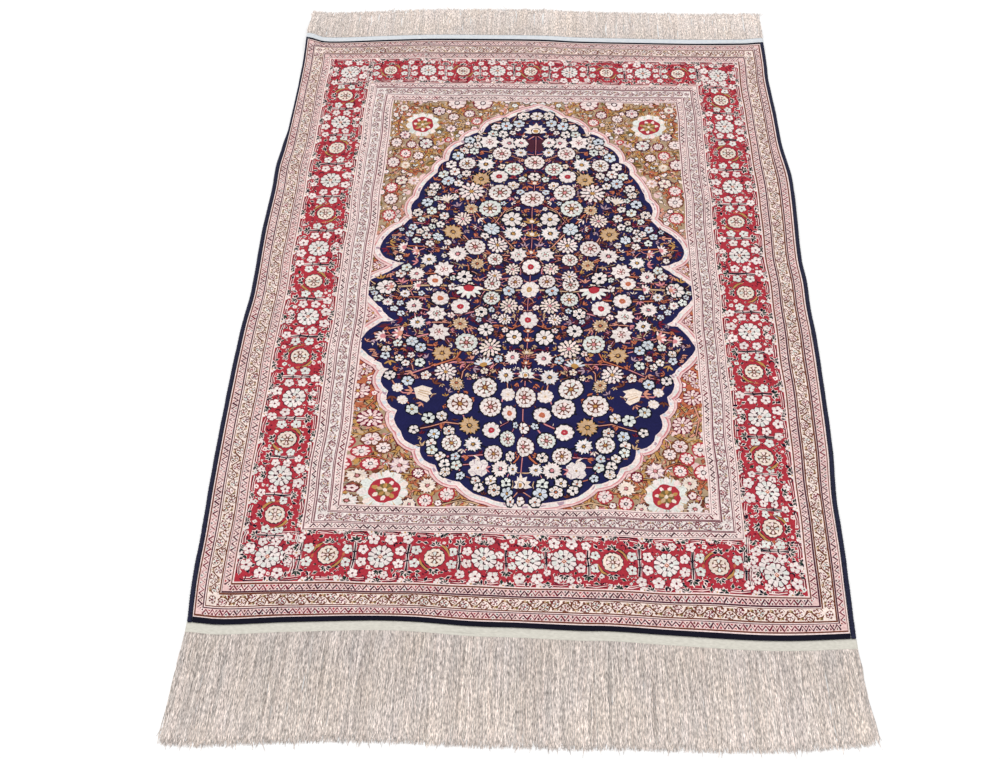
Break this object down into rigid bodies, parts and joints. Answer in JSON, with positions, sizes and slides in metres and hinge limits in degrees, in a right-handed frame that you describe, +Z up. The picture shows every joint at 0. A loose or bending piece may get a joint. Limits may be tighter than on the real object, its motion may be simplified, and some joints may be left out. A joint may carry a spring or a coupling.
{
  "type": "rug",
  "caption": "Small hand-knotted silk rug lying flat, with a floral medallion, bordered edges, overcast sides and a loose fringe at both ends.",
  "frame": {"origin": "the middle of the whole rug's box in plan, fringes included, on the floor it lies on", "axes": "+X across the rug to its right side, +Y along it from the long fringe to the short one, +Z up out of the pile"},
  "size_m": [0.9082, 1.494, 0.0105],
  "materials": {
    "silk_pile": "short cut silk pile with a soft sheen, many dyed colours",
    "overcast_silk": "very dark navy silk wrapping",
    "fringe_silk": "undyed cream silk, loose fine threads"
  },
  "bodies": {
    "root": {"rug_body": "silk_pile", "side_cord_left": "overcast_silk", "side_cord_right": "overcast_silk", "fringe_far": "fringe_silk", "fringe_near": "fringe_silk"}
  },
  "joints": []
}
